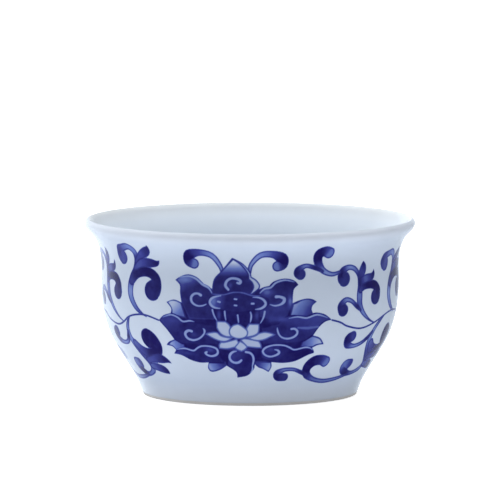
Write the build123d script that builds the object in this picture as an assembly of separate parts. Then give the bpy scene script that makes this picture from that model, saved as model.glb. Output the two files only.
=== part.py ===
from build123d import *
from math import degrees, hypot, sin, sqrt
import os

# A flared porcelain teacup with three blue lotus and three vine transfers. Millimetres, +Z up.
# The origin is the centre of the ring that the cup stands on. The front lotus faces -Y.

# Driving dimensions of the cup
RIM_RADIUS = 33.0          # outermost point of the flared lip
HEIGHT = 35.2              # foot to the crest of the lip
LIP_THICKNESS = 1.4
BELLY_RADIUS = 29.8
WALL = 1.8                 # at the belly, glaze included
FOOT_RADIUS = 21.3         # outer edge of the ring it stands on
FOOT_TOP_RADIUS = 22.35    # where the foot ring meets the bowl
FOOT_TOP_Z = 2.8
FLOOR_Z = 4.9              # top of the floor inside
RECESS_Z = 2.1             # ceiling of the recess under the cup
RECESS_RADIUS = 18.9       # inner wall of the foot ring, at the ceiling
RECESS_MOUTH_RADIUS = 19.4
RECESS_CORNER = 0.5        # glaze pooled round the edge of the ceiling
FOOT_EDGE = 0.3            # softened edges of the resting ring
GLAZE = 0.25               # thickness of the glaze coats
BARE_FOOT_Z = 0.6          # below this the ring is unglazed
CREST_RADIUS = RIM_RADIUS - LIP_THICKNESS / 2

# Driving dimensions of the transfers
TRANSFER = 0.12            # thickness of a fired transfer
ART_RADIUS = 30.0          # the drawing is laid out along a circle of this radius
ART_LOW_Z = 3.2            # the film that the transfers are cut from
ART_HIGH_Z = 33.2
VINE_MIDDLE = 27.0         # middle of a vine, along the drawing, from the middle of its lotus
STEM = 0.2                 # half the width of the thin stem from lotus to lotus
STEM_Z = 16.8              # its height, about
REPEATS = 3
STEPS = 3                  # outline points for each point of a stroke's spine
POINTED = 0.06             # a stroke narrower than this ends in a point
COAT_POINTS = 28           # points along a curve that runs beside another one


def outer_wall():
    """The outside, from the top of the foot ring up to the crest. X is the radius, Y the height."""
    return Spline(
        (FOOT_TOP_RADIUS, FOOT_TOP_Z),
        (24.5, 6.45),
        (27.9, 12.4),
        (29.45, 18.2),
        (BELLY_RADIUS, 24.0),
        (30.0, 28.8),
        (31.45, 32.1),
        (32.7, 33.45),
        (RIM_RADIUS, 34.45),
        (CREST_RADIUS, HEIGHT),
        tangents=((0.55, 1), (-1, 0)),
    )


def inner_wall():
    """The inside, from the crest of the lip down to the middle of the floor."""
    return Spline(
        (CREST_RADIUS, HEIGHT),
        (31.6, 34.35),
        (30.2, 32.3),
        (28.6, 29.3),
        (BELLY_RADIUS - WALL, 24.0),
        (27.3, 17.6),
        (24.6, 11.6),
        (19.5, 7.2),
        (11.0, 5.3),
        (0, FLOOR_Z),
        tangents=((-1, 0), (-1, 0)),
    )


def beside(curve, distance):
    """A curve that runs at a distance to the right of another one."""
    points = []
    for i in range(COAT_POINTS + 1):
        on, along = curve @ (i / COAT_POINTS), curve % (i / COAT_POINTS)
        points.append((on.X + distance * along.Y, on.Y - distance * along.X))
    return Spline(*points, tangents=(curve % 0, curve % 1))


def on_line(start, end, z):
    """The radius where a straight wall passes a height."""
    return start[0] + (end[0] - start[0]) * (z - start[1]) / (end[1] - start[1])


def turned(section):
    """Turns a section about the cup's axis. The section's Y becomes the cup's Z."""
    return revolve(Plane.XZ * section, axis=Axis.Z, revolution_arc=360)


def body_and_glazes():
    """The fired clay and the three coats of glaze that the bare foot ring parts from each other."""
    outside, inside = outer_wall(), inner_wall()
    clay_outside, clay_inside = beside(outside, -GLAZE), beside(inside, -GLAZE)
    recess_rim = on_line((RECESS_MOUTH_RADIUS, 0), (RECESS_RADIUS, RECESS_Z), BARE_FOOT_Z)
    foot_rim = on_line((FOOT_RADIUS, 0), (FOOT_TOP_RADIUS, FOOT_TOP_Z), BARE_FOOT_Z)
    ceiling_z = RECESS_Z + GLAZE
    foot_line = [
        clay_inside @ 1,
        (0, ceiling_z),
        (RECESS_RADIUS + GLAZE, ceiling_z),
        (recess_rim + GLAZE, BARE_FOOT_Z),
        (recess_rim, BARE_FOOT_Z),
        (RECESS_MOUTH_RADIUS, 0),
        (FOOT_RADIUS, 0),
        (foot_rim, BARE_FOOT_Z),
        (foot_rim - GLAZE, BARE_FOOT_Z),
        clay_outside @ 0,
    ]
    clay = make_face(Curve() + [clay_outside, clay_inside, Polyline(*foot_line)])
    clay = fillet([v for v in clay.vertices() if abs(v.Y) < 0.01], FOOT_EDGE)
    outer_edges = [
        outside,
        Line(outside @ 1, clay_outside @ 1),
        clay_outside,
        Polyline(clay_outside @ 0, (foot_rim - GLAZE, BARE_FOOT_Z), (foot_rim, BARE_FOOT_Z), outside @ 0),
    ]
    inner_edges = [
        inside,
        Line(inside @ 1, clay_inside @ 1),
        clay_inside,
        Line(clay_inside @ 0, inside @ 0),
    ]
    base = make_face(Polyline(
        (0, RECESS_Z),
        (RECESS_RADIUS, RECESS_Z),
        (recess_rim, BARE_FOOT_Z),
        (recess_rim + GLAZE, BARE_FOOT_Z),
        (RECESS_RADIUS + GLAZE, ceiling_z),
        (0, ceiling_z),
        close=True,
    ))
    pool = [v for v in base.vertices() if hypot(v.X - RECESS_RADIUS, v.Y - RECESS_Z) < 0.01]
    return {
        "porcelain_body": turned(clay),
        "outer_glaze": turned(make_face(Curve() + outer_edges)),
        "inner_glaze": turned(make_face(Curve() + inner_edges)),
        "base_glaze": turned(fillet(pool, RECESS_CORNER)),
    }


def film():
    """A thin film all round the outside of the bowl."""
    wall = outer_wall()
    surface = beside(wall, TRANSFER)
    ends = [Line(wall @ 0, surface @ 0), Line(wall @ 1, surface @ 1)]
    heights = Pos(0, (ART_LOW_Z + ART_HIGH_Z) / 2) * Rectangle(100, ART_HIGH_Z - ART_LOW_Z)
    return turned(make_face(Curve() + [wall, surface] + ends) & heights)


WALL_CURVE = outer_wall()
WALL_POINTS = [WALL_CURVE @ (i / 200) for i in range(201)]


def wall_radius(z):
    """Radius of the outside of the bowl at a height."""
    for low, high in zip(WALL_POINTS, WALL_POINTS[1:]):
        if z <= high.Y:
            return low.X + (high.X - low.X) * (z - low.Y) / (high.Y - low.Y)
    return WALL_POINTS[-1].X


def facing(along, z, middle):
    """A point of the drawing, seen square on from the direction of the drawing's middle."""
    return wall_radius(z) * sin((along - middle) / ART_RADIUS), z


def closed_outline(runs):
    """A face bounded by smooth runs that meet at corners. A run starts where the last one ended."""
    edges = []
    previous = runs[-1][-1]
    for run in runs:
        points = [facing(x, z, 0) for x, z in [previous] + run]
        edges.append(Line(*points) if len(points) == 2 else Spline(*points))
        previous = run[-1]
    return make_face(Curve() + edges)


def smooth_samples(points):
    """Points between the given ones, on the smooth curve through them (Catmull-Rom)."""
    padded = [points[0]] + points + [points[-1]]
    samples = []
    for a, b, c, d in zip(padded, padded[1:], padded[2:], padded[3:]):
        for step in range(STEPS):
            t = step / STEPS
            samples.append(tuple(
                0.5 * (2 * q + (r - p) * t + (2 * p - 5 * q + 4 * r - s) * t * t
                       + (3 * q - p - 3 * r + s) * t ** 3)
                for p, q, r, s in zip(a, b, c, d)
            ))
    return samples + [points[-1]]


def stroke(points, middle=0.0):
    """A brush stroke with a round end. Each point of its spine is (along, height, half width).

    The outline touches the discs that roll along the spine. Where a disc's edge lies inside another
    disc, the outline leaves it out, which makes the notch beside a curled end.
    """
    discs = [facing(x, z, middle) + (w,) for x, z, w in smooth_samples(points)]
    sides = {1: [], -1: []}
    for i, (x, y, w) in enumerate(discs):
        ahead, behind = discs[min(i + 1, len(discs) - 1)], discs[max(i - 1, 0)]
        length = hypot(ahead[0] - behind[0], ahead[1] - behind[1])
        dx, dy = (ahead[0] - behind[0]) / length, (ahead[1] - behind[1]) / length
        growth = max(-0.95, min(0.95, (ahead[2] - behind[2]) / length))
        across = sqrt(1 - growth ** 2)
        for side in sides:
            edge = (
                x - w * (growth * dx + side * across * dy),
                y - w * (growth * dy - side * across * dx),
            )
            buried = any(hypot(edge[0] - p, edge[1] - q) < r - 0.02 for p, q, r in discs)
            sides[side].append(None if buried else edge)
    x, y, w = discs[-1]
    dx, dy = x - discs[-2][0], y - discs[-2][1]
    tip = (x + w * dx / hypot(dx, dy), y + w * dy / hypot(dx, dy))
    left, right = runs_of(sides[1]), runs_of(sides[-1])
    edges = [Spline(*run) for run in left + right if len(run) > 1]
    for side in (left, right):
        edges += [Line(a[-1], b[0]) for a, b in zip(side, side[1:])]
    edges.append(Line(left[0][0], right[0][0]))
    if w < POINTED:
        edges += [Line(left[-1][-1], tip), Line(tip, right[-1][-1])]
    else:
        edges.append(ThreePointArc(left[-1][-1], tip, right[-1][-1]))
    return make_face(Curve() + edges)


def runs_of(points):
    """Splits a list at its gaps."""
    runs = [[]]
    for point in points:
        if point is not None:
            runs[-1].append(point)
        elif runs[-1]:
            runs.append([])
    return [run for run in runs if run]


def leaned(points):
    """Stretches a scroll towards the next lotus, most of all below the stem and far from that lotus."""
    moved = []
    for x, z, w in points:
        left = max(0, min(8, 37 - x))
        not_high = max(0, min(1, (30 - z) / 13))
        below = max(0, min(1, (STEM_Z - z) / 6))
        low = max(0, 12.8 - z)
        along = 0.31 * left * not_high + 2.2 * below + 0.1 * low
        up = 0.14 + 0.13 * max(0, z - 16) - 0.007 * left * low
        moved.append((x + along, z + up, w))
    return moved


# The lotus, clockwise from the tip of its top petal. The drawing's X is the distance along the
# circle of ART_RADIUS from the middle of the lotus, and its Y is the height above the foot.
LOTUS_OUTLINE = [
    [(0.9, 29.3), (2.3, 27.7), (2.65, 26.6)],
    [(3.6, 26.0), (4.3, 25.0), (4.2, 24.2)],
    [(5.1, 24.6), (6.1, 24.8)],
    [(7.0, 25.65), (9.1, 26.2), (11.1, 25.8), (12.1, 24.85)],
    [(11.2, 24.1), (10.95, 23.0), (10.9, 21.3)],
    [(12.2, 21.8), (13.8, 22.1), (15.1, 21.9), (16.05, 21.35)],
    [(15.2, 20.7), (14.95, 19.9), (15.25, 19.15)],
    [(16.3, 19.2), (18.1, 18.7), (19.8, 17.5)],
    [(18.3, 17.25), (17.0, 16.3), (15.75, 14.6)],
    [(17.5, 14.0), (18.7, 12.6)],
    [(17.2, 12.5), (16.0, 12.0)],
    [(16.5, 11.5), (16.8, 10.9)],
    [(15.3, 10.5), (12.6, 9.35), (9.8, 9.05), (7.1, 9.3)],
    [(7.3, 8.3), (6.7, 7.15)],
    [(5.4, 7.8), (4.2, 8.2), (3.4, 8.85)],
    [(3.2, 7.8), (1.7, 6.45), (-0.8, 6.0)],
    [(-1.0, 7.2), (-3.05, 8.5)],
    [(-4.8, 7.55), (-6.9, 7.1), (-7.65, 7.9), (-7.2, 9.1)],
    [(-9.2, 9.0), (-11.4, 9.45), (-13.4, 10.35), (-15.3, 10.6)],
    [(-14.5, 11.4)],
    [(-15.2, 12.1), (-16.7, 12.3)],
    [(-15.7, 13.1), (-14.3, 13.6)],
    [(-15.7, 15.5), (-17.5, 17.3)],
    [(-16.2, 18.4), (-14.4, 18.95)],
    [(-14.25, 19.9), (-15.3, 21.1)],
    [(-13.5, 21.7), (-11.8, 21.2)],
    [(-12.1, 23.0), (-12.15, 24.6), (-13.2, 25.6)],
    [(-11.9, 26.4), (-10.2, 26.85), (-8.4, 26.35), (-6.95, 25.1)],
    [(-6.0, 24.7), (-5.3, 24.1)],
    [(-4.9, 26.1), (-3.3, 27.85), (-1.15, 30.45)],
]

LOTUS_FEELERS = [
    [(-3.2, 27.3, 0.4), (-3.6, 28.7, 0.5), (-5.2, 30.8, 0.65), (-7.6, 31.35, 0.75), (-9.6, 30.8, 1.1),
     (-9.95, 29.6, 1.15), (-8.95, 29.05, 1.1)],
    [(2.2, 27.4, 0.4), (2.6, 29.1, 0.5), (4.4, 30.95, 0.65), (6.8, 31.05, 0.8), (8.5, 30.2, 1.2),
     (8.65, 29.1, 1.2), (7.75, 28.65, 1.1)],
]

# The small white lotus in the heart of the big one
SMALL_LOTUS = [
    [(-4.6, 16.5), (-4.5, 17.8)],
    [(-2.6, 17.8)],
    [(-1.6, 16.9)],
    [(-0.1, 17.3), (1.5, 16.5)],
    [(2.1, 17.35)],
    [(4.2, 17.3)],
    [(4.3, 16.3), (4.1, 15.4)],
    [(5.9, 15.5), (7.6, 15.0)],
    [(5.8, 14.0), (4.1, 13.75)],
    [(4.7, 13.1), (4.8, 12.3)],
    [(3.2, 12.5), (1.7, 12.5)],
    [(0.6, 11.6), (-0.8, 12.4)],
    [(-2.5, 12.1), (-4.3, 12.1)],
    [(-4.3, 12.9), (-3.8, 13.55)],
    [(-5.2, 14.2), (-7.0, 15.0)],
    [(-5.8, 15.4), (-4.4, 15.4)],
]

VINE_STEM = [
    (20.05, 17.42, STEM), (22, 16.85, STEM), (24, 15.95, STEM), (28, 15.2, STEM), (32, 15.85, STEM),
    (36, 17.0, STEM), (39, 17.6, STEM), (42, 17.7, STEM), (45.05, 17.32, STEM),
]

VINE_SCROLLS = [
    # Upper scrolls: the stalk, its big bulb, its two buds and the bulb that hangs to its left
    [(32.6, 16.0, 0.12), (30.4, 16.75, 0.28), (28.1, 18.35, 0.55), (26.9, 20.1, 0.75),
     (26.7, 22.0, 0.85), (26.75, 24.0, 0.65), (26.45, 25.9, 0.55), (25.2, 27.3, 0.55),
     (23.6, 27.7, 0.6), (22.2, 27.1, 0.85), (21.8, 26.1, 1.0), (22.4, 25.5, 1.6)],
    [(26.9, 22.9, 0.6), (28.2, 23.75, 0.85), (30.2, 23.85, 0.9), (31.6, 23.5, 1.0), (32.4, 22.6, 1.15),
     (32.3, 21.8, 1.35), (31.95, 21.3, 1.68)],
    [(26.7, 24.9, 0.6), (27.4, 26.5, 1.0), (27.7, 27.5, 0.85), (27.5, 28.75, 0.02)],
    [(26.9, 24.6, 0.8), (28.6, 25.1, 0.9), (30.5, 25.4, 0.75), (31.1, 26.1, 0.4), (31.1, 26.85, 0.02)],
    [(27.2, 18.9, 0.3), (26.0, 19.8, 0.5), (24.4, 21.0, 0.5), (22.9, 21.25, 0.6), (21.9, 20.2, 0.95),
     (22.35, 19.3, 1.35)],
    [(21.3, 26.9, 0.4), (19.4, 26.6, 0.5), (17.3, 27.5, 0.7), (16.1, 29.3, 0.95), (16.1, 30.8, 1.1),
     (17.2, 31.35, 1.1), (18.3, 30.95, 1.15)],
    [(17.2, 27.3, 0.35), (15.4, 28.1, 0.5), (13.6, 28.55, 0.5), (12.2, 27.9, 0.75), (12.0, 27.2, 1.0),
     (12.45, 26.9, 1.15)],
    # Upper scrolls beside the next lotus
    [(42.1, 17.4, 0.1), (39.6, 18.6, 0.55), (38.0, 20.4, 0.78), (37.7, 22.1, 0.9), (38.3, 23.9, 0.95),
     (39.4, 25.7, 0.75), (39.9, 27.4, 0.65), (39.75, 28.8, 0.75), (38.4, 29.6, 0.7),
     (36.7, 29.35, 0.75), (35.2, 28.9, 0.95), (34.7, 28.0, 1.1), (35.4, 27.6, 1.6)],
    [(38.2, 23.5, 0.9), (39.8, 24.9, 1.05), (42.0, 25.4, 1.05), (43.9, 25.1, 1.05), (45.0, 24.2, 1.15),
     (44.9, 23.0, 1.55), (44.1, 22.2, 2.1)],
    [(39.8, 27.0, 0.5), (41.4, 28.2, 0.85), (43.1, 29.0, 0.95), (43.85, 29.7, 0.4), (44.0, 30.3, 0.02)],
    [(39.4, 25.9, 0.6), (41.3, 26.85, 0.95), (43.6, 27.0, 0.95), (45.3, 27.0, 0.6), (46.1, 27.6, 0.02)],
    # Lower scrolls: the stalk, the bulb to its left, and the pair that runs under the lotus
    [(36.6, 17.0, 0.12), (35.2, 16.3, 0.4), (33.4, 14.8, 0.6), (32.5, 12.9, 0.75), (33.1, 11.3, 1.05),
     (34.4, 9.5, 1.05), (35.4, 8.0, 0.9), (35.1, 6.7, 0.75), (33.6, 6.05, 0.55), (31.4, 5.7, 0.5),
     (29.2, 5.9, 0.75), (27.6, 6.8, 1.05), (27.4, 7.6, 1.25), (28.9, 7.8, 1.1)],
    [(32.6, 14.1, 0.4), (31.2, 12.9, 0.55), (29.4, 12.0, 0.5), (27.2, 11.65, 0.5), (25.3, 12.1, 0.85),
     (25.0, 13.2, 1.15), (26.1, 13.7, 1.15)],
    [(29.6, 5.45, 0.35), (26.0, 4.9, 0.45), (22.0, 4.7, 0.48), (18.6, 5.3, 0.55), (16.5, 6.4, 0.9),
     (16.1, 7.9, 1.2), (17.3, 9.1, 1.2), (19.2, 9.3, 1.1), (20.6, 8.85, 1.15)],
    [(16.5, 6.2, 0.4), (14.8, 6.9, 0.45), (12.6, 7.6, 0.42), (10.3, 7.55, 0.5), (8.8, 6.8, 0.85),
     (9.2, 6.15, 0.95), (10.9, 6.0, 0.85)],
    # Lower scrolls beside the next lotus
    [(33.6, 11.8, 0.9), (35.2, 10.5, 1.1), (38.0, 10.0, 1.1), (40.3, 10.5, 1.2), (41.6, 11.7, 1.25),
     (41.3, 12.8, 1.6), (40.1, 13.1, 2.15)],
    [(35.3, 8.5, 0.7), (38.0, 8.85, 0.85), (40.6, 9.1, 1.0), (42.3, 8.8, 0.5), (43.2, 8.2, 0.02)],
    [(35.6, 7.3, 0.7), (37.8, 7.1, 0.9), (39.7, 6.8, 0.9), (40.7, 6.4, 0.5), (40.9, 5.8, 0.02)],
]


def united(faces):
    """One sketch from overlapping faces, added one after the other."""
    whole = Sketch() + faces[0]
    for face in faces[1:]:
        whole = whole + face
    return whole


def lotus_drawing():
    blue = united([closed_outline(LOTUS_OUTLINE)] + [stroke(points) for points in LOTUS_FEELERS])
    return blue - closed_outline(SMALL_LOTUS)


def vine_drawing(stem, scrolls):
    return united([stroke(points, VINE_MIDDLE) for points in [stem] + scrolls])


def cut_from(film_solid, drawing):
    """The part of the film that lies behind a drawing seen from -Y."""
    towards_minus_y = Plane(origin=(0, 0, 0), x_dir=(1, 0, 0), z_dir=(0, -1, 0))
    return film_solid & extrude(towards_minus_y * drawing, amount=RIM_RADIUS + 5)


def transfers():
    """Each lotus and each vine, turned about the cup's axis to its place."""
    ring = film()
    lotus = cut_from(ring, lotus_drawing())
    vine = cut_from(ring, vine_drawing(VINE_STEM, VINE_SCROLLS))
    # The front left vine was laid on with a stretch, but its stem still runs from lotus to lotus
    stem = VINE_STEM[:1] + leaned(VINE_STEM[1:-1]) + VINE_STEM[-1:]
    leaning_vine = cut_from(ring, vine_drawing(stem, [leaned(points) for points in VINE_SCROLLS]))
    turn = 360 / REPEATS
    vine_turn = degrees(VINE_MIDDLE / ART_RADIUS)
    return {
        "lotus_front": lotus,
        "lotus_rear_right": Rot(0, 0, turn) * lotus,
        "lotus_rear_left": Rot(0, 0, 2 * turn) * lotus,
        "vine_front_right": Rot(0, 0, vine_turn) * vine,
        "vine_rear": Rot(0, 0, vine_turn + turn) * vine,
        "vine_front_left": Rot(0, 0, vine_turn + 2 * turn) * leaning_vine,
    }


os.makedirs("parts", exist_ok=True)
for name, part in {**body_and_glazes(), **transfers()}.items():
    export_step(part, f"parts/{name}.step")
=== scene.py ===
import math

import bpy
import numpy as np
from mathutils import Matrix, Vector


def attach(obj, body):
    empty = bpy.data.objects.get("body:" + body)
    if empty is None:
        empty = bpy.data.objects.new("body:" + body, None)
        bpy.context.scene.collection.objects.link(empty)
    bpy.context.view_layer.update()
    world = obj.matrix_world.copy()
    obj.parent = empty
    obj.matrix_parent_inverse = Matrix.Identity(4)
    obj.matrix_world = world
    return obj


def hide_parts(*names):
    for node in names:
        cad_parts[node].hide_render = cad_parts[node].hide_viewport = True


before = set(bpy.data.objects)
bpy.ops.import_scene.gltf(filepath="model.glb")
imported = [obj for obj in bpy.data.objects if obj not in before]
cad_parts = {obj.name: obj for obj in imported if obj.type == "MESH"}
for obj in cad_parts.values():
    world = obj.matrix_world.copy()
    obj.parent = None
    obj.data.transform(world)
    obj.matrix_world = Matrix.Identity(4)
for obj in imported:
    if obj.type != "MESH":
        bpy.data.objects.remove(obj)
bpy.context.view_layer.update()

# The looks of a blue and white porcelain teacup. Sizes are in millimetres until a mesh is made,
# and MM turns them into metres. The front lotus faces -Y, and the cup stands on Z = 0.
MM = 0.001

# The cup: sections are (radius, height)
FOOT_RADIUS = 21.3         # outside of the foot ring, at the plane it stands on
FOOT_TOP = (22.35, 2.8)
CREST = (32.3, 35.2)       # top of the lip, where the two coats of glaze meet
OUTER_WALL = [
    FOOT_TOP, (24.5, 6.45), (27.9, 12.4), (29.45, 18.2), (29.8, 24.0), (30.0, 28.8),
    (31.45, 32.1), (32.7, 33.45), (33.0, 34.45), CREST,
]
OUTER_START, OUTER_END = (0.55, 1), (-1, 0)        # directions of the curve at its ends
INNER_WALL = [
    CREST, (31.6, 34.35), (30.2, 32.3), (28.6, 29.3), (28.0, 24.0), (27.3, 17.6),
    (24.6, 11.6), (19.5, 7.2), (11.0, 5.3), (0, 4.9),
]
INNER_START, INNER_END = (-1, 0), (-1, 0)
RECESS_RADIUS, RECESS_Z = 18.9, 2.1
RECESS_MOUTH_RADIUS = 19.4
RECESS_CORNER = 0.5
CEILING_SHARES = (0, 0.3, 0.6, 0.9)    # where the mesh rings of the recess's ceiling lie
GLAZE = 0.25               # thickness of the glaze
BEAD = 0.1                 # rounding of the glaze where it ends above the bare foot
BARE_FOOT_Z = 0.6          # below this the foot ring is unglazed
WALL_STEPS = 90            # mesh rings along a wall
FINE_WALL_STEPS = 360      # steps along the wall when a transfer is laid on it
ROUND_STEPS = 288          # mesh steps round the cup
ON_AXIS = 1e-6             # a smaller radius than this is a point on the axis
SHARP_ANGLE = 50           # edges sharper than this, in degrees, aren't smoothed

# The transfers
ART_RADIUS = 30.0          # the drawing is laid out along a circle of this radius
REPEATS = 3                # lotuses round the cup, with a vine after each of them
GRID = 0.12                # mesh step of a transfer
PROUD = 0.015              # how far a transfer stands above the glaze
SUNK = 0.05                # how far its back lies below the surface of the glaze
SOFT = 0.16                # width over which one tone of ink passes into the next
LINE = 0.27                # width of the dark line round a painted shape
EDGE_SHARE = 0.5           # share of the ink that is left right at the edge of a transfer
EDGE_WIDTH = 0.2           # the ink reaches its full strength this far inside the edge
THIN = 0.9                 # share of their full width that the white brush strokes have
FAR = 9.0                  # stands for any distance that is too great to matter

# Tones of ink, on a scale from 0 for bare glaze to 1 for the deepest blue
PALEST, WHITE, PALE, MID, DEEP, FULL = 0.08, 0.12, 0.28, 0.6, 0.86, 1.0
OFF_WHITE = 0.16

# The lotus, clockwise from the tip of its top petal. Places are (along, height): the distance along
# the circle of ART_RADIUS from the middle of the lotus, and the height above the foot. An outline
# is a list of smooth runs that meet at corners, and each run starts where the last one ended.
LOTUS_OUTLINE = [
    [(0.9, 29.3), (2.3, 27.7), (2.65, 26.6)],
    [(3.6, 26.0), (4.3, 25.0), (4.2, 24.2)],
    [(5.1, 24.6), (6.1, 24.8)],
    [(7.0, 25.65), (9.1, 26.2), (11.1, 25.8), (12.1, 24.85)],
    [(11.2, 24.1), (10.95, 23.0), (10.9, 21.3)],
    [(12.2, 21.8), (13.8, 22.1), (15.1, 21.9), (16.05, 21.35)],
    [(15.2, 20.7), (14.95, 19.9), (15.25, 19.15)],
    [(16.3, 19.2), (18.1, 18.7), (19.8, 17.5)],
    [(18.3, 17.25), (17.0, 16.3), (15.75, 14.6)],
    [(17.5, 14.0), (18.7, 12.6)],
    [(17.2, 12.5), (16.0, 12.0)],
    [(16.5, 11.5), (16.8, 10.9)],
    [(15.3, 10.5), (12.6, 9.35), (9.8, 9.05), (7.1, 9.3)],
    [(7.3, 8.3), (6.7, 7.15)],
    [(5.4, 7.8), (4.2, 8.2), (3.4, 8.85)],
    [(3.2, 7.8), (1.7, 6.45), (-0.8, 6.0)],
    [(-1.0, 7.2), (-3.05, 8.5)],
    [(-4.8, 7.55), (-6.9, 7.1), (-7.65, 7.9), (-7.2, 9.1)],
    [(-9.2, 9.0), (-11.4, 9.45), (-13.4, 10.35), (-15.3, 10.6)],
    [(-14.5, 11.4)],
    [(-15.2, 12.1), (-16.7, 12.3)],
    [(-15.7, 13.1), (-14.3, 13.6)],
    [(-15.7, 15.5), (-17.5, 17.3)],
    [(-16.2, 18.4), (-14.4, 18.95)],
    [(-14.25, 19.9), (-15.3, 21.1)],
    [(-13.5, 21.7), (-11.8, 21.2)],
    [(-12.1, 23.0), (-12.15, 24.6), (-13.2, 25.6)],
    [(-11.9, 26.4), (-10.2, 26.85), (-8.4, 26.35), (-6.95, 25.1)],
    [(-6.0, 24.7), (-5.3, 24.1)],
    [(-4.9, 26.1), (-3.3, 27.85), (-1.15, 30.45)],
]

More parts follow.
